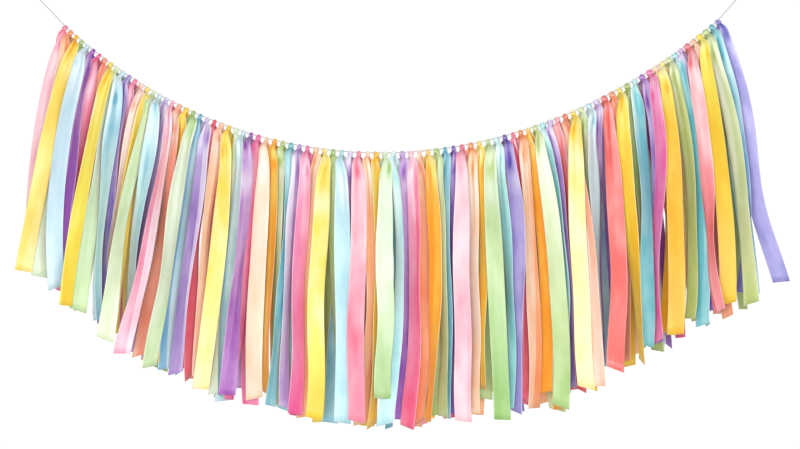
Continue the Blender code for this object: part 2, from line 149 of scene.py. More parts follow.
def along_route(route, step):
    """Evenly spaced points on the smooth line through a route's points."""
    points = np.array([tuple(p) for p in route])
    walked = running_total(np.linalg.norm(np.diff(points, axis=0), axis=1))
    slopes = np.gradient(points, walked, axis=0)
    at = np.linspace(0.0, walked[-1], max(8, int(walked[-1] / step)))
    i = np.clip(np.searchsorted(walked, at, side="right") - 1, 0, len(walked) - 2)
    span = (walked[i + 1] - walked[i])[:, None]
    t = ((at - walked[i]) / (walked[i + 1] - walked[i]))[:, None]
    return ((2 * t ** 3 - 3 * t ** 2 + 1) * points[i] + (t ** 3 - 2 * t ** 2 + t) * span * slopes[i]
            + (3 * t ** 2 - 2 * t ** 3) * points[i + 1] + (t ** 3 - t ** 2) * span * slopes[i + 1])


def tube_faces(rings, sides, closed):
    """Faces between rings of points, and from the last ring to the first if the tube is closed."""
    faces = []
    for r in range(rings if closed else rings - 1):
        n = (r + 1) % rings
        for c in range(sides):
            d = (c + 1) % sides
            faces.append((r * sides + c, r * sides + d, n * sides + d, n * sides + c))
    return faces


def twisted_cord(points, radius, closed=False):
    """Vertices, faces and an outline share for a three-strand cord along points."""
    points = np.asarray(points)
    if closed:
        ahead = np.roll(points, -1, axis=0) - np.roll(points, 1, axis=0)
    else:
        ahead = np.gradient(points, axis=0)
    ahead /= np.linalg.norm(ahead, axis=1)[:, None]
    side = np.cross(ahead[0], (0.0, 1.0, 0.05))
    frames = []
    for direction in ahead:
        side = side - direction * side.dot(direction)
        side = side / np.linalg.norm(side)
        frames.append((side, np.cross(direction, side)))
    walked = running_total(np.linalg.norm(np.diff(points, axis=0), axis=1))
    angle = math.tau * np.arange(CORD_SIDES) / CORD_SIDES
    verts, ridge = [], []
    for place, (first, second), distance in zip(points, frames, walked):
        lobe = np.abs(np.cos(0.5 * CORD_STRANDS * (angle - math.tau * distance / CORD_LAY)))
        reach = radius * (1.0 - STRAND_GROOVE * (1.0 - lobe))
        ring = place + reach[:, None] * (np.cos(angle)[:, None] * first + np.sin(angle)[:, None] * second)
        verts.extend(map(tuple, ring * MM))
        ridge.extend(lobe)
    faces = tube_faces(len(points), CORD_SIDES, closed)
    if not closed:
        faces.append(tuple(reversed(range(CORD_SIDES))))
        faces.append(tuple((len(points) - 1) * CORD_SIDES + c for c in range(CORD_SIDES)))
    return verts, faces, ridge


def new_piece(name, verts, faces, material):
    """A smooth-shaded mesh object at the origin."""
    mesh = bpy.data.meshes.new(name)
    mesh.from_pydata(verts, [], faces)
    mesh.materials.append(material)
    mesh.shade_smooth()
    piece = bpy.data.objects.new(name, mesh)
    scene.collection.objects.link(piece)
    return piece


def float_attribute(piece, name, values):
    """A number for each vertex, which a material can read by its name."""
    attribute = piece.data.attributes.new(name, "FLOAT", "POINT")
    attribute.data.foreach_set("value", np.asarray(values, np.float32))


def set_inputs(tree, node, inputs):
    """Give inputs of a node a value each, or the output of another node."""
    for socket, given in inputs.items():
        if isinstance(given, bpy.types.NodeSocket):
            tree.links.new(given, node.inputs[socket])
        else:
            node.inputs[socket].default_value = given


def add_node(tree, kind, place, inputs=None, **settings):
    """A new shader node, with its place in the tree, its settings and its inputs: its outputs."""
    node = tree.nodes.new(f"ShaderNode{kind}")
    node.location = place
    for setting, value in settings.items():
        setattr(node, setting, value)
    set_inputs(tree, node, inputs or {})
    return node.outputs


def add_mix(tree, place, share, first, second):
    """The colour that lies between two others."""
    inputs = {"Factor": share, "A": first, "B": second}
    return add_node(tree, "Mix", place, inputs, data_type="RGBA")["Result"]


def new_material(name):
    """A material, its node tree and its shader."""
    material = bpy.data.materials.new(name)
    material.use_nodes = True
    return material, material.node_tree, material.node_tree.nodes["Principled BSDF"]


def cotton_material():
    """Pale matt cotton with painted shade in the grooves between the strands, and a fine uneven fuzz."""
    material, tree, shader = new_material("cotton_cord")
    ridge = add_node(tree, "Attribute", (-800, 200), attribute_name="ridge")
    places = add_node(tree, "TexCoord", (-800, -100))
    fuzz = add_node(tree, "TexNoise", (-600, -100),
                    {"Scale": FUZZ_SCALE, "Detail": 3.0, "Vector": places["Object"]})
    # painted shade in the grooves between the strands
    colour = add_mix(tree, (-400, 200), ridge["Fac"], (*CORD_GROOVE_SHADE_COLOUR, 1.0), (*CORD_COLOUR, 1.0))
    bump = add_node(tree, "Bump", (-300, -100),
                    {"Strength": FUZZ_STRENGTH, "Distance": BUMP_HEIGHT, "Height": fuzz["Fac"]})
    set_inputs(tree, shader, {"Base Color": colour, "Roughness": 0.85, "Sheen Weight": 0.3,
                              "Normal": bump["Normal"]})
    return material


cotton = cotton_material()
cord_line = along_route(cord_route(), CORD_STEP)
cord_verts, cord_faces, cord_ridge = twisted_cord(cord_line, CORD_RADIUS)
cord_piece = new_piece("hanging_cord", cord_verts, cord_faces, cotton)
float_attribute(cord_piece, "ridge", cord_ridge)
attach(cord_piece, "root")
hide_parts("cord")


# The hanging loops: each end of the cord is doubled back into a small loop and tied in a round
# knot, which leaves a short free end. Loop, knot and free end are one piece.
LOOP_STEP = 0.5
LOOP_TAPER = 0.45
KNOT_COIL = 1.15
KNOT_UNEVENNESS = 0.45
KNOT_BULGE = 0.75
KNOT_STEPS = 60
FREE_END = 7.0
FREE_END_START = 0.6
FREE_END_BEND = 2.2
FREE_END_FORWARD = 1.2


def loop_lines(side):
    """The lines of one end's loop, its knot and its free end."""
    far, knot, lead = loop_place(side)
    lead = np.array(lead)
    across = np.array((-lead[2], 0.0, lead[0]))
    back = np.array((0.0, 1.0, 0.0))
    knot = np.array(knot)
    t = np.linspace(0.0, math.tau, int(math.pi * LOOP_LENGTH / LOOP_STEP))[:, None]
    reach = 0.5 * LOOP_LENGTH - CORD_RADIUS
    narrow = (1.0 - LOOP_TAPER) + LOOP_TAPER * 0.5 * (1.0 - np.cos(t))
    loop = knot + lead * reach * (1.0 - np.cos(t)) + across * 0.5 * LOOP_WIDTH * np.sin(t) * narrow
    t = np.linspace(0.0, math.tau, KNOT_STEPS + 1)[:-1, None]
    out = KNOT_COIL * (1.0 + KNOT_UNEVENNESS * np.cos(3.0 * t))
    coil = (knot + lead * LOOP_KNOT_STRETCH * out * np.cos(2.0 * t) + across * out * np.sin(2.0 * t)
            + back * KNOT_BULGE * np.sin(3.0 * t))
    t = np.linspace(0.0, 1.0, int(FREE_END / LOOP_STEP))[:, None]
    down = np.array((0.0, 0.0, -1.0))
    free = (knot - across * side * FREE_END_START + down * FREE_END * t
            - lead * FREE_END_BEND * t ** 2 - back * FREE_END_FORWARD * t)
    return (loop, False), (coil, True), (free, False)


for loop_name, loop_side in (("left_loop", -1), ("right_loop", 1)):
    verts, faces, ridge = [], [], []
    for line, closed in loop_lines(loop_side):
        some_verts, some_faces, some_ridge = twisted_cord(line, CORD_RADIUS, closed)
        faces.extend(tuple(i + len(verts) for i in face) for face in some_faces)
        verts.extend(some_verts)
        ridge.extend(some_ridge)
    loop_piece = new_piece(f"tied_{loop_name}", verts, faces, cotton)
    float_attribute(loop_piece, "ridge", ridge)
    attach(loop_piece, "root")
    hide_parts(loop_name)


# Satin: dyed polyester with long glossy threads that run down the ribbon, and a firm woven edge
# on both sides. Light passes through the thin cloth, so folds glow in their own colour; the
# shader's subsurface gives part of that, and each dye's pale colour below is painted highlight and
# its deep colour painted shade.
SATIN = {
    # colour: (painted highlight where it faces the light, its plain dye, painted shade deep in the folds)
    "pink": ((1.0, 0.72, 0.77), (0.92, 0.33, 0.42), (0.80, 0.08, 0.18)),
    "peach": ((0.99, 0.78, 0.66), (0.92, 0.48, 0.30), (0.88, 0.25, 0.11)),
    "yellow": ((1.0, 0.88, 0.50), (0.93, 0.66, 0.08), (0.90, 0.42, 0.008)),
    "green": ((0.78, 0.88, 0.66), (0.53, 0.69, 0.36), (0.31, 0.49, 0.13)),
    "blue": ((0.72, 0.88, 0.92), (0.47, 0.74, 0.79), (0.13, 0.42, 0.55)),
    "purple": ((0.86, 0.80, 0.94), (0.49, 0.34, 0.66), (0.19, 0.06, 0.38)),
}
ROUGHNESS_RANGE = (0.42, 0.55)
SATIN_IOR = 1.6
SATIN_SHEEN = 0.15
SATIN_SUBSURFACE = 0.35
SATIN_REACH = 0.0015
THREAD_SCALE = (90.0, 4.0, 1.0)
THREAD_STRENGTH = 0.12
EDGE_RIB_SCALE = 12.0
EDGE_SHARE = 0.035
# painted sheen along the woven edges: how strong, and its colour
EDGE_SHEEN = 0.2
EDGE_SHEEN_COLOUR = (1.0, 0.98, 0.95)
CLOUD_SCALE = (0.8, 0.3, 1.0)
# the clouds: tone that differs at random, and painted sheen; how far they make the satin paler or deeper
CLOUD_TONE_AND_SHEEN = 0.38
# the long crease: painted light on one side and painted shade on the other, how softly they meet, and the
# painted highlight along it
CREASE_SOFTNESS = 0.07
CREASE_HIGHLIGHT_WIDTH = 0.09
CREASE_HIGHLIGHT = 0.9
HUE_SPREAD = 0.025
HUE_LIMIT = 4.0


def new_group(name, inputs, outputs):
    """A shader node group, what it is given, and its end node."""
    group = bpy.data.node_groups.new(name, "ShaderNodeTree")
    for in_out, sockets in (("INPUT", inputs), ("OUTPUT", outputs)):
        for socket, kind in sockets.items():
            group.interface.new_socket(name=socket, in_out=in_out, socket_type=f"NodeSocket{kind}")
    start = group.nodes.new("NodeGroupInput")
    start.location = (-1000, 0)
    end = group.nodes.new("NodeGroupOutput")
    end.location = (1100, 0)
    return group, start.outputs, end


def add_math(tree, operation, place, *values, **settings):
    """The result of a calculation with one to three values."""
    return add_node(tree, "Math", place, dict(enumerate(values)), operation=operation, **settings)["Value"]


def add_range(tree, place, value, low, high, to_low=0.0, to_high=1.0, kind="LINEAR"):
    """A value brought from one range into another."""
    return add_node(tree, "MapRange", place, {
        "Value": value, "From Min": low, "From Max": high, "To Min": to_low, "To Max": to_high,
    }, interpolation_type=kind)["Result"]


def add_noise(tree, place, scale, detail):
    """Noise on the ribbon, stretched by its scales across and along."""
    stretch = add_node(tree, "Mapping", (-800, -200), {"Vector": place, "Scale": scale})
    return add_node(tree, "TexNoise", (-600, -200),
                    {"Vector": stretch["Vector"], "Scale": 1.0, "Detail": detail})["Fac"]


def weave_group():
    """Height of the satin's threads, and how much a place belongs to the woven edge."""
    group, given, end = new_group("satin_weave", {"Ribbon Place": "Vector"},
                                  {"Height": "Float", "Edge": "Float"})
    parts = add_node(group, "SeparateXYZ", (-800, 100), {"Vector": given["Ribbon Place"]})
    away = add_math(group, "ABSOLUTE", (-420, 100),
                    add_math(group, "SUBTRACT", (-600, 100), parts["X"], 0.5))
    edge = add_range(group, (-240, 100), away, 0.5 - 1.6 * EDGE_SHARE, 0.5 - 0.8 * EDGE_SHARE,
                     kind="SMOOTHSTEP")
    threads = add_noise(group, given["Ribbon Place"], THREAD_SCALE, 2.0)
    ribs = add_node(group, "TexWave", (-420, -400),
                    {"Vector": given["Ribbon Place"], "Scale": EDGE_RIB_SCALE}, bands_direction="Y")
    height = add_node(group, "Mix", (100, -100), {"Factor": edge, "A": threads, "B": ribs["Fac"]})
    set_inputs(group, end, {"Height": height["Result"], "Edge": edge})
    return group


def tone_group():
    """The ribbon's colour: cloudy along its length, with painted light where it is paler and painted shade
    where it is deeper, by how it lies and faces.
    """
    group, given, end = new_group("satin_tone", {
        "Ribbon Place": "Vector", "Pale": "Color", "Dye": "Color", "Deep": "Color", "Fold": "Float",
        "Crease": "Float", "Split": "Float", "Tint": "Float", "Edge": "Float",
    }, {"Colour": "Color", "Roughness": "Float"})
    # the clouds: tone that differs at random, and painted sheen along the satin
    clouds = add_noise(group, given["Ribbon Place"], CLOUD_SCALE, 3.0)
    uneven = add_range(group, (-400, -200), clouds, 0.3, 0.7, -CLOUD_TONE_AND_SHEEN, CLOUD_TONE_AND_SHEEN)
    # the long crease: painted light on one side, painted shade on the other, and a painted highlight along
    # it
    sides = add_range(group, (-800, 500), given["Crease"], -CREASE_SOFTNESS, CREASE_SOFTNESS, -1.0,
                      kind="SMOOTHSTEP")
    near = add_math(group, "ABSOLUTE", (-800, 250), given["Crease"])
    line = add_range(group, (-600, 250), near, 0.0, CREASE_HIGHLIGHT_WIDTH, -CREASE_HIGHLIGHT, 0.0, kind="SMOOTHSTEP")
    split = add_math(group, "MULTIPLY", (-600, 500), sides, given["Split"])
    strength = add_math(group, "ABSOLUTE", (-600, 750), given["Split"])
    crease_light_and_shade = add_math(group, "MULTIPLY_ADD", (-400, 400), line, strength, split)
    # all of it together, from the painted highlight over the plain dye to the painted shade
    fold = add_math(group, "ADD", (-200, 0), given["Fold"], uneven)
    total = add_math(group, "ADD", (-100, 200), fold, crease_light_and_shade)
    # painted highlight where the total is below zero, painted shade where it is above
    paler = add_math(group, "MULTIPLY", (0, 250), total, -1.0, use_clamp=True)
    deeper = add_node(group, "Clamp", (0, -50), {"Value": total})
    highlighted = add_mix(group, (200, 250), paler, given["Dye"], given["Pale"])
    shaded = add_mix(group, (400, 100), deeper["Result"], highlighted, given["Deep"])
    turn = add_range(group, (400, -150), given["Tint"], -HUE_LIMIT, HUE_LIMIT,
                     0.5 - HUE_LIMIT * HUE_SPREAD, 0.5 + HUE_LIMIT * HUE_SPREAD)
    tinted = add_node(group, "HueSaturation", (650, 100), {"Hue": turn, "Color": shaded})
    # painted sheen along the woven edge
    edge = add_math(group, "MULTIPLY", (650, -150), given["Edge"], EDGE_SHEEN)
    edge_sheened = add_mix(group, (880, 100), edge, tinted["Color"], (*EDGE_SHEEN_COLOUR, 1.0))
    gloss = add_range(group, (250, -400), clouds, 0.0, 1.0, *ROUGHNESS_RANGE)
    set_inputs(group, end, {"Colour": edge_sheened, "Roughness": gloss})
    return group


def satin_material(colour, weave, tone):
    """One colour of satin, with its painted light and shade."""
    material, tree, shader = new_material(f"satin_{colour}")
    place = add_node(tree, "TexCoord", (-900, 0))["UV"]
    threads = add_node(tree, "Group", (-650, -100), {"Ribbon Place": place}, node_tree=weave)
    given = {"Ribbon Place": place, "Edge": threads["Edge"]}
    for socket, shade in zip(("Pale", "Dye", "Deep"), SATIN[colour]):
        given[socket] = (*shade, 1.0)
    # fold is the tone of each place, mostly painted light and shade; crease and split carry the long
    # crease's painted light and shade
    for row, mark in enumerate(("Fold", "Crease", "Split", "Tint")):
        reader = add_node(tree, "Attribute", (-900, 250 + 200 * row), attribute_name=mark.lower())
        given[mark] = reader["Fac"]
    dyed = add_node(tree, "Group", (-400, 150), given, node_tree=tone)
    bump = add_node(tree, "Bump", (-250, -250),
                    {"Strength": THREAD_STRENGTH, "Distance": BUMP_HEIGHT, "Height": threads["Height"]})
    set_inputs(tree, shader, {
        "Base Color": dyed["Colour"], "Roughness": dyed["Roughness"], "Normal": bump["Normal"],
        "IOR": SATIN_IOR, "Specular IOR Level": 0.6, "Sheen Weight": SATIN_SHEEN,
        "Subsurface Weight": SATIN_SUBSURFACE, "Subsurface Scale": SATIN_REACH,
        "Subsurface Radius": (1.0, 0.8, 0.7),
    })
    return material


# The ribbons: ninety cut lengths of satin in six dyes that repeat along the cord. Each is tied
# by its middle, so one tail hangs in front of the cord and one behind it, both gathered where
# they leave the knot. The sizes and the table are those of the solids that they stand for.
PITCH = (8.0, 8.1, 7.9, 8.4, 8.5, 9.2, 9.4, 9.5, 9.4, 9.6, 8.5, 9.4, 9.5, 8.4, 8.6)
COLOURS = ("pink", "peach", "yellow", "green", "blue", "purple")
RIBBON_WIDTH = 19.0
SOLID_THICKNESS = 1.0
GATHERED_THICKNESS = 3.0
GATHER_START = 8.0
GATHER_LENGTH = 40.0
KNOT_DROP = 3.8
# Shares of a tail's length at its rows of points, which lie closer together near the knot
TAIL_ROWS = 48
SHARES = (np.arange(TAIL_ROWS + 1) / TAIL_ROWS) ** 1.5
# What differs a little from tail to tail: sideways waves, the slant of the cut, and the share
# of tails that are turned the other way round
WAVE_SPREAD = 3.0
SLANT_SPREAD = 2.5
TURNED_BACK = 0.2

# How a tail faces: degrees that it is turned away from the front, at FACE_AT of its length
FACE_AT = (0.0, 0.16, 0.45, 0.75, 1.0)
FACES = {
    "flat": (0, 24, 13, 10, 6),
    "half": (10, 44, 44, 42, 38),
    "edge": (25, 52, 60, 62, 58),
    "opening": (42, 57, 55, 35, 8),
    "closing": (0, 24, 47, 62, 65),
}

# The front tails, from the left end. middle and foot say how far the middle and the cut end
# hang to the side of the knot (+ is to the right), swing is how far an S-shaped tail bends to the
# right above its middle, and tails of a higher layer lie further out. Two lines are one run: pink,
# peach and yellow, then green, blue and purple.
Tail = namedtuple("Tail", "middle foot length face layer swing", defaults=(0,))
FRONT = [Tail(*row) for row in (
    (-26, -32, 262, "flat", 0), (-23, -37, 258, "half", 1), (-31, -54, 261, "flat", 3),
    (-28, -43, 260, "flat", 1), (-28, -29, 266, "flat", 3), (-22, -27, 255, "half", 2),
    (-22, -27, 250, "closing", 1), (-23, -32, 258, "half", 0), (-26, -45, 266, "half", 3),
    (-21, -38, 266, "opening", 2), (-18, -24, 270, "closing", 3), (-18, -25, 268, "edge", 2),
    (-22, -34, 270, "edge", 1), (-23, -37, 270, "edge", 1), (-23, -36, 270, "half", 1),
    (-30, -48, 273, "opening", 3), (-21, -36, 268, "closing", 3), (-24, -42, 272, "edge", 1),
    (-21, -51, 277, "opening", 3), (-19, -42, 274, "opening", 2), (-20, -38, 275, "half", 1),
    (-24, -43, 280, "half", 3), (-20, -38, 278, "half", 0), (-16, -36, 279, "half", 3),
    (-20, -26, 281, "edge", 2), (-18, -24, 276, "edge", 2), (-12, -30, 286, "flat", 3),
    (-6, -22, 288, "opening", 2), (-14, -24, 288, "edge", 2), (-11, -26, 283, "opening", 3),
    (-13, -31, 287, "edge", 2), (-9, -13, 283, "flat", 3), (-5, -10, 274, "edge", 2),
    (-7, -2, 282, "edge", 1), (-7, -23, 284, "edge", 2), (-12, -15, 284, "edge", 2),
    (-9, -12, 290, "half", 3), (-8, -12, 292, "half", 2), (-7, -12, 292, "flat", 3),
    (2, 12, 284, "edge", 1), (2, 2, 294, "flat", 3), (-3, 2, 286, "edge", 1),
    (-1, -5, 291, "flat", 3), (5, -7, 295, "half", 2), (3, -5, 297, "edge", 2),
    (0, -1, 266, "flat", 3), (6, -10, 296, "opening", 3), (4, 0, 290, "half", 2),
    (4, -3, 299, "half", 3), (6, 0, 296, "half", 2), (8, -1, 295, "closing", 3),
    (6, 8, 290, "edge", 1), (1, 3, 292, "edge", 1), (-2, 1, 290, "edge", 1),
    (-1, 2, 299, "flat", 3), (2, 3, 293, "half", 2), (3, 0, 267, "edge", 2),
    (8, 15, 303, "flat", 3), (13, 14, 294, "edge", 3), (14, 10, 300, "half", 3, 3),
    (12, 14, 290, "edge", 2), (12, 14, 301, "half", 3), (17, 20, 287, "half", 1),
    (22, 26, 306, "flat", 3), (20, 24, 290, "edge", 2), (16, 22, 290, "edge", 1),
    (16, 25, 296, "half", 1), (24, 32, 295, "half", 2), (4, 12, 299, "flat", 3),
    (9, 12, 290, "edge", 1), (6, 7, 281, "edge", 2), (0, 3, 286, "edge", 1),
    (12, 9, 295, "flat", 3), (11, 15, 291, "edge", 1), (10, 23, 297, "closing", 3),
    (14, 15, 287, "edge", 2), (11, 11, 289, "half", 3), (14, 16, 292, "edge", 2, 5),
    (8, 8, 294, "edge", 3, 5), (0, -1, 284, "edge", 0), (12, 13, 296, "flat", 3),
    (23, 21, 285, "edge", 2), (23, 30, 297, "half", 2), (21, 31, 286, "edge", 2),
    (18, 34, 291, "closing", 3, 3), (19, 36, 303, "edge", 1), (20, 29, 293, "flat", 3),
    (34, 46, 301, "half", 3), (31, 30, 294, "closing", 3), (33, 68, 293, "flat", 2, 5),
)]

# Back tails follow the fan of the garland, apart from some in their lowest layer that show
# between the front ones: the middle, foot, length and face of those
BACK_FAN = 0.11
MIDDLE_SHARE = 0.6
BACK_SPREAD = 8.0
BACK_LENGTH_SPREAD = 6.0
BACK_SEEN = {
    ("pink", 2): (-27, -38, 262, "flat"), ("green", 4): (-20, -36, 282, "half"),
    ("purple", 4): (-30, -45, 275, "half"), ("pink", 5): (-26, -36, 272, "flat"),
    ("yellow", 6): (3, 0, 286, "half"), ("blue", 7): (-11, -14, 296, "flat"),
    ("green", 9): (-1, -1, 289, "flat"), ("pink", 10): (-14, -13, 297, "half"),
    ("green", 10): (-7, -4, 281, "flat"), ("yellow", 11): (21, 35, 307, "half"),
    ("yellow", 13): (8, 9, 302, "half"), ("yellow", 14): (8, 7, 295, "half"),
}

# How the tails are laid over each other, away from the cord
LAYERS = 4
CLEARANCE = 0.7
CORD_DEPTH = 0.9
KNOT_REACH = 3.7
KNOT_DEPTH = 3.9
ROOT_DEPTH = 1.7
CELL_X = 1.0
CELL_Z = 2.0
CELL_MARGIN = 0.9
GRID_LEFT = -480.0
GRID_COLUMNS = 960
GRID_ROWS = 260
GRID_X = GRID_LEFT + CELL_X * (np.arange(GRID_COLUMNS) + 0.5)
GRID_Z = -CELL_Z * np.arange(GRID_ROWS)
FREE_ROOT = 6.0
PUSH_SLOPE = 0.2
ROOT_PUSH_SLOPE = 0.75
ROOT_PUSH_LENGTH = 70.0
RETURN_SLOPE = 0.06
LEAST_SHARE = 0.3


def ease(u):
    """A soft step from 0 to 1."""
    u = np.clip(u, 0.0, 1.0)
    return u * u * (3.0 - 2.0 * u)


def knot_places():
    """x, z, and the cord's direction at each of the ninety knots."""
    x, z, along = cord_curve()
    gaps = np.repeat(PITCH, len(COLOURS))[:-1]
    place = running_total(gaps)
    place *= along[-1] / place[-1]
    knot_x = np.interp(place, along, x)
    knot_z = np.interp(place, along, z)
    slope = cord_height(knot_x + 0.5) - cord_height(knot_x - 0.5)
    return [(float(a), float(b), math.atan(float(c))) for a, b, c in zip(knot_x, knot_z, slope)]


def plan_tails(knots):
    """Every tail as a dictionary: where it starts, how it hangs, and its side (-1 is front)."""
    draw = random.Random(TAIL_SEED)
    twist_draw = random.Random(TWIST_SEED)
    tails = []
    for number, (x, z, slope) in enumerate(knots):
        colour = COLOURS[number % len(COLOURS)]
        run = number // len(COLOURS) + 1
        start = (x + KNOT_DROP * math.sin(slope), z - KNOT_DROP * math.cos(slope))
        for side in (-1, 1):
            length = FRONT[number].length + draw.uniform(-1, 1) * BACK_LENGTH_SPREAD
            middle = MIDDLE_SHARE * (BACK_FAN * x + draw.uniform(-1, 1) * BACK_SPREAD)
            foot = BACK_FAN * x + draw.uniform(-1, 1) * BACK_SPREAD
            face = draw.choice(tuple(FACES))
            layer = draw.randrange(LAYERS)
            flip = draw.random() < TURNED_BACK
            row = Tail(middle, foot, length, face, layer)
            if side < 0:
                row = FRONT[number]
            elif (colour, run) in BACK_SEEN:
                row = Tail(*BACK_SEEN[(colour, run)], layer=0)
            tails.append({
                "side": side,
                "row": row,
                "start": start,
                "down": SHARES * row.length,
                "hand": (1 if x < LOW_X else -1) * (-1 if flip else 1),
                "wave": draw.uniform(-1, 1) * WAVE_SPREAD,
                "waves": draw.uniform(1.0, 2.0),
                "slant": draw.uniform(-1, 1) * SLANT_SPREAD,
                "opening": twist_draw.uniform(*OPENING_LENGTH),
                "twist": RIPPLE * twist_draw.uniform(0.5, 1.0),
                "twist_length": twist_draw.uniform(*RIPPLE_LENGTH),
                "twist_start": twist_draw.uniform(0.0, math.tau),
            })
    return tails


def tail_course(tail):
    """x and z down a tail."""
    row = tail["row"]
    across = 4.0 * SHARES * (1.0 - SHARES) * row.middle + SHARES * (2.0 * SHARES - 1.0) * row.foot
    across = across + row.swing * np.sin(math.tau * SHARES)
    across = across + tail["wave"] * SHARES * np.sin(math.tau * tail["waves"] * SHARES)
    step = np.diff(across)
    run = row.length * np.diff(SHARES)
    fall = np.sqrt(np.maximum(run ** 2 - step ** 2, 0.0))
    return tail["start"][0] + across, tail["start"][1] - running_total(fall)


def tail_width(tail):
    """Gathered at the knot, from where the ribbon soon opens to its full width."""
    gathered = np.exp(-(tail["down"] / tail["opening"]) ** OPENING_POWER)
    gathered = LEG_SHARE * np.exp(-(tail["down"] / LEG_OPENING) ** 2) + (1.0 - LEG_SHARE) * gathered
    return RIBBON_WIDTH - (RIBBON_WIDTH - ROOT_WIDTH) * gathered


def tail_thickness(tail):
    """The gathered root is a thick bundle, and the open ribbon of the solid is one layer."""
    opened = ease((tail["down"] - GATHER_START) / GATHER_LENGTH)
    return GATHERED_THICKNESS + (SOLID_THICKNESS - GATHERED_THICKNESS) * opened


def tail_turn(tail):
    """Angle by which the ribbon is turned about its own length, in radians."""
    degrees = FACES[tail["row"].face]
    turn = np.zeros_like(SHARES)
    for low, high, before, after in zip(FACE_AT, FACE_AT[1:], degrees, degrees[1:]):
        inside = (SHARES >= low) & (SHARES <= high)
        turn[inside] = (before + (after - before) * ease((SHARES - low) / (high - low)))[inside]
    twist = np.sin(math.tau * tail["down"] / tail["twist_length"] + tail["twist_start"])
    return np.radians(turn) * tail["hand"] + tail["twist"] * twist * ease(tail["down"] / GATHER_LENGTH)


def lay_tails(tails, knots):
    """Give each tail its depth from the cord on its way down, laid over the tails behind it."""
    for side in (-1, 1):
        surface = np.full((GRID_ROWS, GRID_COLUMNS), CORD_DEPTH)
        for x, z, _ in knots:
            near = (GRID_X[None, :] - x) ** 2 + (GRID_Z[:, None] - z) ** 2 < KNOT_REACH ** 2
            surface[near] = KNOT_DEPTH
        on_side = [tail for tail in tails if tail["side"] == side]
        on_side.sort(key=lambda tail: (tail["row"].layer, -abs(tail["start"][0] - LOW_X)))
        for tail in on_side:
            lay_one(tail, surface)


def lay_one(tail, surface):
    """Lay one tail the way round that keeps it closer in, then raise the surface with it."""
    x, z = tail_course(tail)
    foot = z[-1] - abs(tail["slant"]) - CELL_Z
    rows = np.nonzero((GRID_Z < z[0] - FREE_ROOT) & (GRID_Z > foot))[0]
    at = GRID_Z[rows]
    share_at = np.interp(-at, -z, SHARES)
    half_width = 0.5 * tail_width(tail)
    half_thickness = 0.5 * tail_thickness(tail)
    offset = GRID_X[None, :] - np.interp(-at, -z, x)[:, None]
    after = np.clip(np.searchsorted(SHARES, share_at), 1, len(SHARES) - 1)
    down = (share_at - SHARES[after - 1]) / (SHARES[after] - SHARES[after - 1])
    choices = []
    for hand in (tail["hand"], -tail["hand"]):
        tail["hand"] = hand
        turn = tail_turn(tail)
        half_x = np.interp(share_at, SHARES, half_width * np.cos(turn))
        half_y = np.interp(share_at, SHARES, half_width * np.sin(turn))
        skin_x = np.interp(share_at, SHARES, half_thickness * np.abs(np.sin(turn)))
        skin_y = np.interp(share_at, SHARES, half_thickness * np.cos(turn))
        slope = half_y / half_x
        twist = np.abs(np.diff(half_width * np.sin(turn)))[after - 1]
        half_depth = skin_y + skin_x * np.abs(slope) + 2.0 * twist * down * (1.0 - down)
        reach = half_x + skin_x
        covered = np.abs(offset) <= (reach + CELL_MARGIN)[:, None]
        relief = np.clip(offset, -reach[:, None], reach[:, None]) * slope[:, None]
        under = np.where(covered, surface[rows] + relief, -np.inf).max(axis=1)
        need = under + half_depth + CLEARANCE
        held = hang_over(need, after, down, at, z)
        choices.append((held[2:].mean(), hand, held, covered, relief, half_depth))
    choices.sort(key=lambda choice: choice[0])
    _, hand, held, covered, relief, half_depth = choices[0]
    tail.update(hand=hand, x=x, z=z, depth=held)
    laid = np.interp(share_at, SHARES, held)[:, None] - relief + half_depth[:, None]
    surface[rows] = np.where(covered, np.maximum(surface[rows], laid), surface[rows])


def hang_over(need, after, down, at, z):
    """Depth at each station of a tail that rests on what lies behind it, without steps."""
    depth = need.copy()
    near_root = 1.0 - ease((z[0] - at) / ROOT_PUSH_LENGTH)
    push = PUSH_SLOPE + (ROOT_PUSH_SLOPE - PUSH_SLOPE) * near_root
    for i in range(len(depth) - 2, -1, -1):
        depth[i] = max(depth[i], depth[i + 1] - push[i] * CELL_Z)
    for i in range(1, len(depth)):
        depth[i] = max(depth[i], depth[i - 1] - RETURN_SLOPE * CELL_Z)
    held = np.interp(-z, -at, depth)
    held[0] = ROOT_DEPTH
    for i, station in enumerate(after):
        lack = need[i] - (1.0 - down[i]) * held[station - 1] - down[i] * held[station]
        if lack <= 0.0:
            continue
        if station == 1:
            held[1] += lack / max(down[i], LEAST_SHARE)
            continue
        norm = (1.0 - down[i]) ** 2 + down[i] ** 2
        held[station - 1] += lack * (1.0 - down[i]) / norm
        held[station] += lack * down[i] / norm
    return held


# The looks of one ribbon. The pleats of the gathered cloth spread as the ribbon opens and stay
# on as soft folds that run down it.
CLOTH = 0.3
COLUMNS = 19
TAIL_SEED = 11
TWIST_SEED = 12
RIBBON_SEED = 100
SHADE_SEED = 400
PHASES = (0.0, 6.28)  # any start of a wave
CLOUD_STARTS = (0.0, 40.0)  # where a ribbon begins in the clouds of tone and painted sheen

# How a tail leaves its knot and opens. Two values in brackets are the least and the most that is
# drawn, unless a comment says otherwise.
ROOT_WIDTH = 3.8
LEG_SHARE = 0.3
LEG_OPENING = 5.0
LEG_SPREAD = 2.4
LEG_LENGTH = 6.0
LEGS_CROSSED = 0.25
OPENING_LENGTH = (23.0, 42.0)
OPENING_POWER = 1.3
ROOT_TURN_LENGTH = 9.0
DEPTH_SMOOTHING = 3
RIPPLE = math.radians(9.0)
RIPPLE_LENGTH = (130.0, 260.0)
SLANT_MORE = 1.5
SLANT_FROM = 0.74
END_CURL = 2.4
END_CURL_LENGTH = 26.0

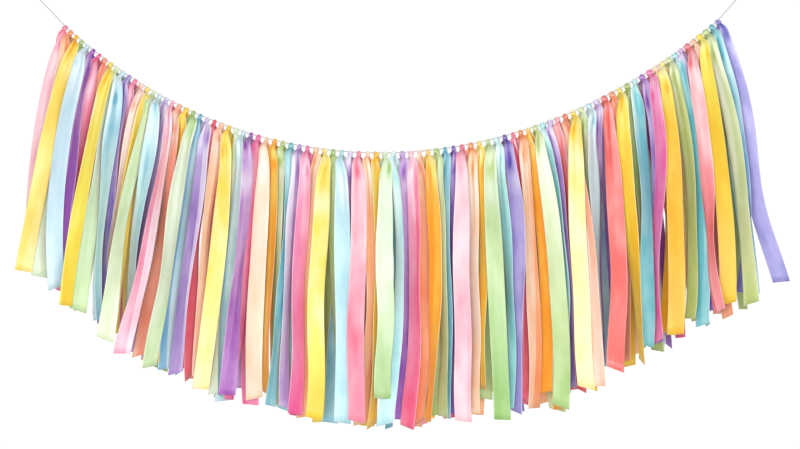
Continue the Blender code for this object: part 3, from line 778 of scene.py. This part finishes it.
# Pleats and folds
PLEATS = (2, 3, 3, 4)  # one of these is drawn
PLEAT_WARP = 0.5
PLEAT_SLANT = 3.0
PLEAT_SLANT_LENGTH = 22.0
PLEAT_SHARPNESS = 0.97
PLEAT_HEIGHT = 1.0
PLEAT_LENGTH = (28.0, 42.0)  # flat tails, turned ones
PLEAT_LIMIT = (1.5, 0.1)  # at the knot, and more for each mm below it
LAYER_FREEDOM = 0.22
LAYER_LIFT = 0.1
FACET_SHARPNESS = 3.0
FOLD_HEIGHT = 0.4
FOLD_LENGTH = 150.0
OFF_MIDDLE = (-0.6, 0.6)

# How the satin's tone looks, mostly painted light and shade: tones from pale (-1) to deep (+1), and the
# lengths over which they fade
# painted light on one side of each pleat and painted shade on the other, where it starts and how far it
# lasts
FACET_LIGHT_SHADE = 0.22
FACET_START = 12.0
FACET_LENGTH = (45.0, 130.0)  # flat tails, turned ones
# painted light on one side of the long crease and painted shade on the other: how strong, where it starts,
# and how it wanders
CREASE_LIGHT_SHADE = (0.2, 0.55)  # flat tails, turned ones
CREASE_START = 20.0
CREASE_SHARE = (0.1, 1.0)
CREASE_CHANGE = 0.45
CREASE_WAVES = (2.0, 7.0)
CREASE_PLACE = (-0.5, 0.5)
CREASE_BENDS = (2.0, 4.0)
# painted shade in the troughs of the pleats, and how it fades down the tail
TROUGH_SHADE = 0.5
TROUGH_SHADE_LENGTH = 28.0
LONG_TROUGH_SHADE_SHARE = 0.4
LONG_TROUGH_SHADE_LENGTH = 90.0
# a painted highlight band some way below the knot: how strong, where, and how long
BAND_HIGHLIGHT = (0.05, 0.62)
BAND_AT = (22.0, 60.0)
BAND_LENGTH = (12.0, 26.0)
# painted shade on tails turned away from the front, a paler start for all of them, painted shade on lower
# layers, and tone that differs at random
TURN_SHADE = 1.2
OPEN_TONE = -0.3
LAYER_SHADE = 0.12
CHANCE_TONE = 0.35
SHADING_START = 30.0
# painted light and shade at the knot, drawn per ribbon from pale to deep, and how fast it fades down the
# tail
KNOT_LIGHT_SHADE = (-1.0, 1.1)
KNOT_FADE = 11.0
# tails deeper towards the foot and paler towards the knot
FOOT_DEPTH = 0.26
# painted light on the left of the banner and painted shade on the right
LEFT_LIGHT_RIGHT_SHADE = 0.13
# painted highlight on the cloth just below the knot
TOP_HIGHLIGHT = 0.6
TOP_LENGTH = 28.0
# painted shade at the root of a tail and in one fold below the knot
CORE_SHADE = (0.2, 1.1)
CORE_LENGTH = 5.0
SPOT_SHADE = (0.3, 1.8)
SPOT_AT = (8.0, 28.0)
SPOT_LENGTH = (5.0, 13.0)
SPOT_WIDTH = 0.48

# The strap over the cord and the turn of cloth below it
STRAP_RADIUS = 1.5
STRAP_WIDTH = 3.4
STRAP_ROWS = 9
WRAP_ALONG = 2.2
WRAP_DEEP = 2.4
WRAP_HEIGHT = (0.9, 1.7)
WRAP_LEAN = (14.0, 34.0)
WRAP_THICKNESS = 0.6
WRAP_RIDGE = 0.16
WRAP_DROP = 2.5
WRAP_STEPS = 28
WRAP_SIDES = 10
WRAP_SPAN = 0.3
WRAP_RIM_SHADING = (0.4, 0.6)  # the knot's painted light and shade on the turn: of its middle, and more towards its rims
KNOT_SPREAD = 0.2
KNOT_GROWTH = 0.4

# How pale (-10, painted light) or deep (+10, painted shade) a front tail looks at the knot, at a
# third, at two thirds and at its foot, and which way its hue leans, for the ribbons in the order
# of FRONT.
LOOK_AT = (0.0, 0.33, 0.67, 1.0)
LOOKS = (
    (1, -4, -6, -5, 0), (3, 2, 2, 2, 3), (5, 3, 0, -2, -3),
    (0, -4, -6, -7, 2), (4, 1, 0, -1, 13), (5, 6, 7, 6, 14),
    (5, 7, 8, 8, -5), (2, 0, 0, 0, -5), (5, 3, 1, 5, 2),
    (0, -6, -3, 3, 2), (5, 3, 2, 3, 6), (5, 6, 7, 7, -10),
    (5, 6, 5, 5, -5), (0, -3, -4, -4, -6), (5, 5, 4, 3, 0),
    (3, 0, -4, -7, -3), (2, 0, -1, -3, 3), (5, 6, 6, 4, -6),
    (1, -1, -3, -5, -4), (1, 3, 4, 3, -5), (5, 5, 5, 4, 0),
    (-2, -5, -4, -2, 3), (7, 6, 4, 2, 8), (2, 1, 1, 1, -5),
    (6, 6, 8, 8, 3), (3, 2, 0, -2, -3), (2, -2, -2, -8, 2),
    (2, -2, -4, -5, 3), (5, 4, 4, 3, 2), (4, 5, 7, 6, 12),
    (6, 8, 8, 6, -10), (-1, -6, -5, -5, 6), (8, 9, 8, 6, -7),
    (4, 4, 4, 4, -5), (6, 7, 7, 6, -8), (0, -3, -3, -2, 3),
    (1, 2, 3, 6, -9), (6, 6, 6, 4, 4), (3, -1, -3, 6, 0),
    (4, 3, 2, 2, 0), (3, 1, 0, 0, 0), (6, 7, 7, 5, 3),
    (-1, -5, 7, 0, 0), (4, 4, 1, -1, 3), (4, 5, 5, 5, -2),
    (-5, -8, -3, 3, 6), (5, 4, 2, 0, -6), (3, 5, 7, 7, 6),
    (3, 4, 5, 6, -2), (2, 3, 4, 5, -2), (8, 9, 9, 8, -6),
    (1, 1, 2, 2, -8), (5, 5, 4, 4, 0), (6, 7, 7, 6, -6),
    (-3, -7, -1, -7, 0), (-1, -5, -4, -2, 4), (5, 5, 5, 4, -2),
    (0, 1, 3, 10, -5), (4, 4, 5, 6, -12), (3, 2, 1, -1, -18),
    (6, 7, 7, 6, 0), (0, -1, 0, 0, 2), (8, 9, 9, 8, -8),
    (-5, -4, 5, 5, -14), (5, 5, 5, 4, -14), (6, 7, 7, 6, 0),
    (7, 8, 8, 7, 8), (5, -2, -9, -9, -4), (3, -7, -9, -8, 2),
    (4, 5, 5, 5, -8), (1, -3, -3, -2, 6), (5, 6, 6, 5, 0),
    (6, 8, 8, 7, 11), (6, 6, 6, 6, 0), (6, 6, 6, 5, 5),
    (4, 6, 5, 4, -13), (7, 9, 8, 6, -14), (2, 5, 6, 5, 5),
    (5, 6, 7, 7, -13), (7, 7, 7, 7, 3), (6, 7, 7, 5, 2),
    (4, 6, 6, 5, -16), (8, 9, 8, 5, -7), (6, 7, 7, 6, 12),
    (0, -5, 7, 2, 6), (4, 5, 6, 4, 0), (4, 7, 8, 7, 7),
    (0, -3, -2, 2, -13), (6, 6, 10, 9, -8), (5, 0, 0, 2, -29),
)

# How far the hue leans at the foot of a front tail, where it changes on the way down
TINT_AT_FOOT = {
    ("yellow", 2): 0.9, ("purple", 5): 2.2, ("yellow", 7): 0.9, ("green", 10): 1.0,
    ("green", 11): 0.3, ("blue", 15): 4.0,
}


def smooth(values, times):
    """A row of values with its kinks evened out, its ends held."""
    for _ in range(times):
        values = values.copy()
        values[1:-1] = 0.25 * values[:-2] + 0.5 * values[1:-1] + 0.25 * values[2:]
    return values


def knot_shades(down, u, shade_draw):
    """Painted shade where a tail leaves its knot and in one fold a little further down, less a painted
    highlight on the cloth below the knot.
    """
    core_shade = shade_draw.uniform(*CORE_SHADE) * np.exp(-(down / CORE_LENGTH) ** 2)
    spot_down = (down - shade_draw.uniform(*SPOT_AT)) / shade_draw.uniform(*SPOT_LENGTH)
    spot_across = (u - shade_draw.uniform(*OFF_MIDDLE)) / SPOT_WIDTH
    spot_shade = shade_draw.uniform(*SPOT_SHADE) * np.exp(-spot_down[:, None] ** 2 - spot_across[None, :] ** 2)
    # painted shade at the root and in the fold, less the painted highlight below the knot
    return core_shade[:, None] - TOP_HIGHLIGHT * np.exp(-down / TOP_LENGTH)[:, None] + spot_shade


def knot_frame(knot):
    """Where a knot sits, and the directions along the cord and square to it upwards."""
    x, z, slope = knot
    along = np.array((math.cos(slope), 0.0, math.sin(slope)))
    up = np.array((-math.sin(slope), 0.0, math.cos(slope)))
    return np.array((x, 0.0, z)), along, up


def pleated(tail, turned, down, u, draw):
    """How far each place stands out in pleats and folds, the pleats' height, and which side of a pleat
    each place is on, for painted light on one side and painted shade on the other.
    """
    layer = tail["row"].layer
    count = draw.choice(PLEATS)
    start = draw.uniform(*PHASES)
    warped = u + PLEAT_WARP * draw.uniform(-1, 1) * (1.0 - u ** 2)
    drift = PLEAT_SLANT * draw.choice((-1.0, 1.0)) * draw.uniform(0.3, 1.0)
    drift = drift * np.exp(-down / PLEAT_SLANT_LENGTH)
    phase = 0.5 * math.pi * count * warped[None, :] + start + drift[:, None]
    wave = (2.0 / math.pi) * np.arcsin(PLEAT_SHARPNESS * np.cos(phase))
    # which side of a pleat gets painted light and which painted shade
    facet_light_shade = np.tanh(FACET_SHARPNESS * np.sin(phase)) * draw.choice((-1.0, 1.0))
    broad = np.cos(0.5 * math.pi * (u + draw.uniform(*OFF_MIDDLE))) * draw.choice((-1.0, 1.0))
    height = PLEAT_HEIGHT * (1.0 + LAYER_FREEDOM * layer) * np.exp(-down / PLEAT_LENGTH[turned])
    height = np.minimum(height, PLEAT_LIMIT[0] + PLEAT_LIMIT[1] * down)
    swell = height[:, None] * (wave + LAYER_LIFT * layer)
    fold = FOLD_HEIGHT * ease(down / GATHER_LENGTH) * np.exp(-down / FOLD_LENGTH)
    return swell + fold[:, None] * broad, height, facet_light_shade


def tone_and_shade_depth(tail, x, down, turn, look, draw):
    """How deep a tail looks down its length: its row of LOOKS, or else painted shade by its turn and
    layer with a random share; deeper towards the foot, painted light to the left and painted shade to
    the right, and a painted highlight band below the knot.
    """
    chance = CHANCE_TONE * draw.uniform(-1.0, 1.0)
    if look:
        # painted light and shade of the tail, as listed in LOOKS
        depth = np.interp(SHARES, LOOK_AT, look[:4])
    else:
        # painted shade by how far the tail is turned and how low it lies, with a random share
        under = LAYERS - 1 - tail["row"].layer
        depth = TURN_SHADE * np.abs(np.sin(turn)) + OPEN_TONE + LAYER_SHADE * under + chance
    # deeper towards the foot, and painted light to the left and painted shade to the right
    depth = depth + FOOT_DEPTH * (SHARES - 0.5) + LEFT_LIGHT_RIGHT_SHADE * x / REACH_RIGHT
    # a painted highlight band below the knot
    band = (down - draw.uniform(*BAND_AT)) / draw.uniform(*BAND_LENGTH)
    return depth - draw.uniform(*BAND_HIGHLIGHT) * np.exp(-band ** 2)


def tail_surface(tail, knot, leg, look, knot_light_shade, draw, shade_draw):
    """A tail's cloth, row by row from the knot to the cut end: points and marks.

    The marks are the tone of a place, which is mostly painted light and shade (painted shade in the
    folds and near the knot, painted highlights below it), how far it is from the long crease, and how
    much the painted light and shade change across the crease there.
    """
    side = tail["side"]
    turned = int(tail["row"].face != "flat")
    down = tail["down"]
    left = tail["row"].length - down
    u = np.linspace(-1.0, 1.0, COLUMNS)

    # the middle line, and the directions across the ribbon and out of its face
    x = tail["x"] + leg * LEG_SPREAD * down / LEG_LENGTH * np.exp(1.0 - down / LEG_LENGTH)
    depth = smooth(ROOT_DEPTH + (tail["depth"] - ROOT_DEPTH) * ease(down / FREE_ROOT), DEPTH_SMOOTHING)
    depth = depth + draw.uniform(-1, 1) * END_CURL * np.clip(1.0 - left / END_CURL_LENGTH, 0, 1) ** 2
    turn = tail_turn(tail)
    near = 1.0 - ease(down / ROOT_TURN_LENGTH)[:, None]
    across = np.stack((np.cos(turn), -side * np.sin(turn), np.zeros_like(turn)), axis=1)
    across = across * (1.0 - near) + knot_frame(knot)[1] * near
    across /= np.linalg.norm(across, axis=1)[:, None]
    out = np.stack((np.sin(turn), side * np.cos(turn), np.zeros_like(turn)), axis=1)

    # the points, with the slant of the cut end
    swell, height, facet_light_shade = pleated(tail, turned, down, u, draw)
    points = np.stack((x, side * depth, tail["z"]), axis=1)[:, None, :]
    points = points + across[:, None, :] * (0.5 * tail_width(tail)[:, None] * u)[:, :, None]
    points = points + out[:, None, :] * swell[:, :, None]
    slant = SLANT_MORE * tail["slant"] * np.clip((SHARES - SLANT_FROM) / (1.0 - SLANT_FROM), 0.0, 1.0)
    points[:, :, 2] += slant[:, None] * u

    # the marks: the tone of each place, mostly painted light and shade, and the long crease with painted
    # light on one side and painted shade on the other
    line = draw.uniform(*CREASE_PLACE)
    line = line + 0.5 * np.sin(draw.uniform(*CREASE_BENDS) * SHARES + draw.uniform(*PHASES))
    split = draw.choice((-1.0, 1.0)) * draw.uniform(*CREASE_SHARE) * CREASE_LIGHT_SHADE[turned]
    change = np.sin(draw.uniform(*CREASE_WAVES) * SHARES + draw.uniform(*PHASES))
    split = split * (1.0 - CREASE_CHANGE + CREASE_CHANGE * change)
    # painted shade in the troughs of the pleats
    in_fold = np.clip(-swell / np.maximum(height, 0.2)[:, None], 0.0, 1.0)
    fade = LONG_TROUGH_SHADE_SHARE * np.exp(-down / LONG_TROUGH_SHADE_LENGTH) + np.exp(-down / TROUGH_SHADE_LENGTH)
    # the tail's tone, mostly painted light and shade, grows in below the knot
    tone_and_shade = ease(down / SHADING_START) * tone_and_shade_depth(tail, x, down, turn, look, draw)
    facet_light_shade = facet_light_shade * (FACET_LIGHT_SHADE * ease(down / FACET_START) * np.exp(-down / FACET_LENGTH[turned]))[:, None]
    # painted light and shade at the knot and painted shade in the troughs, then the tail's tone, the pleat
    # sides and the knot's painted shade and highlight
    tone = knot_light_shade * np.exp(-down / KNOT_FADE)[:, None] + TROUGH_SHADE * in_fold * fade[:, None]
    tone = np.clip(tone + tone_and_shade[:, None] + facet_light_shade + knot_shades(down, u, shade_draw), -1.0, 1.0)
    from_crease = u[None, :] - line[:, None]
    split = np.broadcast_to((split * ease(down / CREASE_START))[:, None], from_crease.shape)
    return points, np.stack((tone, from_crease, split), axis=2)


def strap_surface(knot, size, front_root, back_root):
    """Points of the cloth where it passes over the cord, between the two tails' roots."""
    centre, along, up = knot_frame(knot)
    front = np.array((0.0, -1.0, 0.0))
    u = np.linspace(-1.0, 1.0, COLUMNS)
    front_bend = -(front_root[:, 1] - front_root[:, 1].mean())
    back_bend = back_root[:, 1] - back_root[:, 1].mean()
    rows = []
    for i in range(STRAP_ROWS):
        share = i / (STRAP_ROWS - 1)
        angle = math.pi * share
        outward = up * math.sin(angle) + front * math.cos(angle)
        bend = 0.5 * ((1.0 - share) * front_bend + share * back_bend)
        over = centre + outward * STRAP_RADIUS
        wide = STRAP_WIDTH * (1.0 + (size - 1.0) * math.sin(angle))
        rows.append(over + along * (0.5 * wide * u)[:, None] + outward * bend[:, None])
    return np.array(rows)


def cloth_shell(rows, walked):
    """Closed thin cloth from rows of points: vertices, faces and each one's place on the ribbon."""
    count, columns, _ = rows.shape
    normal = np.cross(np.gradient(rows, axis=1), np.gradient(rows, axis=0))
    normal /= np.linalg.norm(normal, axis=2)[:, :, None]
    outer = (rows + normal * CLOTH * 0.5).reshape(-1, 3)
    inner = (rows - normal * CLOTH * 0.5).reshape(-1, 3)
    verts = np.concatenate((outer, inner)) * MM
    index = np.arange(count * columns).reshape(count, columns)
    a, b = index[:-1, :-1].ravel(), index[:-1, 1:].ravel()
    c, d = index[1:, 1:].ravel(), index[1:, :-1].ravel()
    back = count * columns
    faces = [tuple(face) for face in np.stack((a, b, c, d), axis=1).tolist()]
    faces += [tuple(face) for face in (np.stack((d, c, b, a), axis=1) + back).tolist()]
    rim = np.concatenate((index[0, :], index[1:, -1], index[-1, -2::-1], index[-2:0:-1, 0])).tolist()
    for here, after in zip(rim, rim[1:] + rim[:1]):
        faces.append((here, here + back, after + back, after))
    u = np.broadcast_to(np.linspace(0.0, 1.0, columns)[None, :], (count, columns)).ravel()
    v = np.broadcast_to((walked / RIBBON_WIDTH)[:, None], (count, columns)).ravel()
    place = np.stack((np.concatenate((u, u)), np.concatenate((v, v))), axis=1)
    return verts, faces, place


def wrap_ring(knot, size, height, lean):
    """The turn of cloth that holds both tails under the cord: a soft slanting band."""
    centre, along, up = knot_frame(knot)
    centre = centre - up * WRAP_DROP
    deep = np.array((0.0, 1.0, 0.0))
    verts, place = [], []
    for i in range(WRAP_STEPS):
        t = math.tau * i / WRAP_STEPS
        outward = along * math.cos(t) / (WRAP_ALONG * size) + deep * math.sin(t) / WRAP_DEEP
        outward /= np.linalg.norm(outward)
        middle = (centre + along * WRAP_ALONG * size * math.cos(t) + deep * WRAP_DEEP * math.sin(t)
                  + up * math.tan(lean) * WRAP_ALONG * size * math.cos(t) * -math.sin(t))
        for j in range(WRAP_SIDES):
            s = math.tau * j / WRAP_SIDES
            ridge = 1.0 + WRAP_RIDGE * math.cos(4.0 * s + 2.0 * t)
            point = (middle + outward * WRAP_THICKNESS * ridge * size * math.cos(s)
                     + up * height * size * math.sin(s))
            verts.append(point * MM)
            place.append((0.5 + WRAP_SPAN * math.sin(s), 2.0 * i / WRAP_STEPS))
    faces = [(a, d, c, b) for a, b, c, d in tube_faces(WRAP_STEPS, WRAP_SIDES, True)]
    return np.array(verts), faces, np.array(place)


def make_ribbon(number, knot, front, back, material):
    """One ribbon as it is tied: both tails, the strap over the cord and the turn that holds them."""
    draw = random.Random(RIBBON_SEED + number)
    leg = -1.0 if knot[0] < LOW_X else 1.0
    if draw.random() < LEGS_CROSSED:
        leg = -leg
    lean = math.radians(draw.uniform(*WRAP_LEAN)) * -leg
    size = 1.0 + KNOT_SPREAD * draw.uniform(-1.0, 1.0) + KNOT_GROWTH * max(knot[0], 0.0) / REACH_RIGHT
    colour = COLOURS[number % len(COLOURS)]
    look = [tenths / 10.0 for tenths in LOOKS[number]]
    knot_light_shade = draw.uniform(*KNOT_LIGHT_SHADE)
    shade_draw = random.Random(SHADE_SEED + number)
    front_rows, front_marks = tail_surface(front, knot, leg, look, knot_light_shade, draw, shade_draw)
    back_rows, back_marks = tail_surface(back, knot, -leg, None, knot_light_shade, draw, shade_draw)
    strap = strap_surface(knot, size, front_rows[0], back_rows[0])
    rows = np.concatenate((front_rows[::-1], strap, back_rows))
    strap_down = -np.linspace(1.0, STRAP_ROWS, STRAP_ROWS)
    walked = np.concatenate((front["down"][::-1], strap_down, -STRAP_ROWS - back["down"]))
    # the knot's painted light and shade over the strap
    strap_marks = np.broadcast_to((knot_light_shade, 0.0, 0.0), strap.shape)
    marks = np.concatenate((front_marks[::-1], strap_marks, back_marks)).reshape(-1, 3)
    verts, faces, place = cloth_shell(rows, walked)
    height = draw.uniform(*WRAP_HEIGHT)
    ring_verts, ring_faces, ring_place = wrap_ring(knot, size, height, lean)
    faces = faces + [tuple(i + len(verts) for i in face) for face in ring_faces]
    ring_marks = np.zeros(ring_verts.shape)
    from_middle = (ring_place[:, 0] - 0.5) / WRAP_SPAN
    # the knot's painted light and shade on the turn, stronger towards its rims where the band curves away
    ring_marks[:, 0] = knot_light_shade * (WRAP_RIM_SHADING[0] + WRAP_RIM_SHADING[1] * from_middle ** 2)
    marks = np.concatenate((marks, marks, ring_marks))
    verts = np.concatenate((verts, ring_verts))
    place = np.concatenate((place, ring_place))
    place = place + (0.0, draw.uniform(*CLOUD_STARTS))
    tint = look[4]
    foot_tint = TINT_AT_FOOT.get((colour, number // len(COLOURS) + 1), tint)
    tints = tint + (foot_tint - tint) * np.clip(walked / front["row"].length, 0.0, 1.0)
    tints = np.repeat(tints, COLUMNS)
    tints = np.concatenate((tints, tints, np.full(len(ring_verts), tint)))
    piece = new_piece(f"ribbon_{number + 1:02d}_{colour}", verts.tolist(), faces, material)
    corners = np.empty(len(piece.data.loops), np.int32)
    piece.data.loops.foreach_get("vertex_index", corners)
    uv = piece.data.uv_layers.new(name="ribbon_place")
    uv.data.foreach_set("uv", place[corners].astype(np.float32).ravel())
    # fold: tone of each place, mostly painted light and shade; crease and split: the long crease's painted
    # light and shade; tint: the hue's lean
    for name, values in zip(("fold", "crease", "split", "tint"), (*marks.T, tints)):
        float_attribute(piece, name, values)
    return piece


weave = weave_group()
tone = tone_group()
satin = {colour: satin_material(colour, weave, tone) for colour in COLOURS}
all_knots = knot_places()
all_tails = plan_tails(all_knots)
lay_tails(all_tails, all_knots)
for number, knot in enumerate(all_knots):
    colour = COLOURS[number % len(COLOURS)]
    front, back = all_tails[2 * number], all_tails[2 * number + 1]
    ribbon = make_ribbon(number, knot, front, back, satin[colour])
    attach(ribbon, "root")
    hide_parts(f"ribbons_{number // 2 + 1:02d}")


# The studio: a plain pale floor under the banner, white all round, two soft lamps in front, left
# and right of the camera's line, and a weaker one behind.
FLOOR_HEIGHT = -0.75
FLOOR_RADIUS = 1.7
FLOOR_THICKNESS = 0.01
FLOOR_SIDES = 96
FLOOR_COLOUR = (0.93, 0.93, 0.93)
WHITE = (1.0, 1.0, 1.0, 1.0)
ROOM_BRIGHTNESS = 0.38
BACKDROP_BRIGHTNESS = 1.05
AIM = Vector((0.0, 0.0, -0.28))
LAMPS = {
    # name: (place, width and height, power)
    "main_lamp": ((-0.45, -2.4, 0.0), (0.9, 1.5), 28.5),
    "side_lamp": ((0.35, -2.4, -0.1), (0.9, 1.5), 25.5),
    "back_lamp": ((0.5, 2.0, 0.6), (1.2, 1.2), 24.0),
}

bpy.ops.mesh.primitive_cylinder_add(vertices=FLOOR_SIDES, radius=FLOOR_RADIUS, depth=FLOOR_THICKNESS,
                                    location=(0.0, 0.0, FLOOR_HEIGHT - 0.5 * FLOOR_THICKNESS))
floor = bpy.context.active_object
floor.name = "floor"
floor_paint, floor_tree, floor_shader = new_material("pale_floor")
set_inputs(floor_tree, floor_shader, {"Base Color": (*FLOOR_COLOUR, 1.0), "Roughness": 0.9})
floor.data.materials.append(floor_paint)

for lamp_name, (place, size, power) in LAMPS.items():
    lamp_data = bpy.data.lights.new(lamp_name, "AREA")
    lamp_data.shape = "RECTANGLE"
    lamp_data.size, lamp_data.size_y = size
    lamp_data.energy = power
    lamp = bpy.data.objects.new(lamp_name, lamp_data)
    lamp.location = place
    lamp.visible_camera = False
    lamp.rotation_euler = (AIM - Vector(place)).to_track_quat("-Z", "Y").to_euler()
    scene.collection.objects.link(lamp)

room = bpy.data.worlds.new("white_room")
room.use_nodes = True
tree = room.node_tree
set_inputs(tree, tree.nodes["Background"], {"Color": WHITE, "Strength": ROOM_BRIGHTNESS})
backdrop = add_node(tree, "Background", (0, -150), {"Color": WHITE, "Strength": BACKDROP_BRIGHTNESS})
ray = add_node(tree, "LightPath", (0, 400))
choose = add_node(tree, "MixShader", (200, 200), {
    0: ray["Is Camera Ray"], 1: tree.nodes["Background"].outputs[0], 2: backdrop["Background"],
})
set_inputs(tree, tree.nodes["World Output"], {"Surface": choose["Shader"]})
scene.world = room
scene.view_settings.view_transform = "Standard"
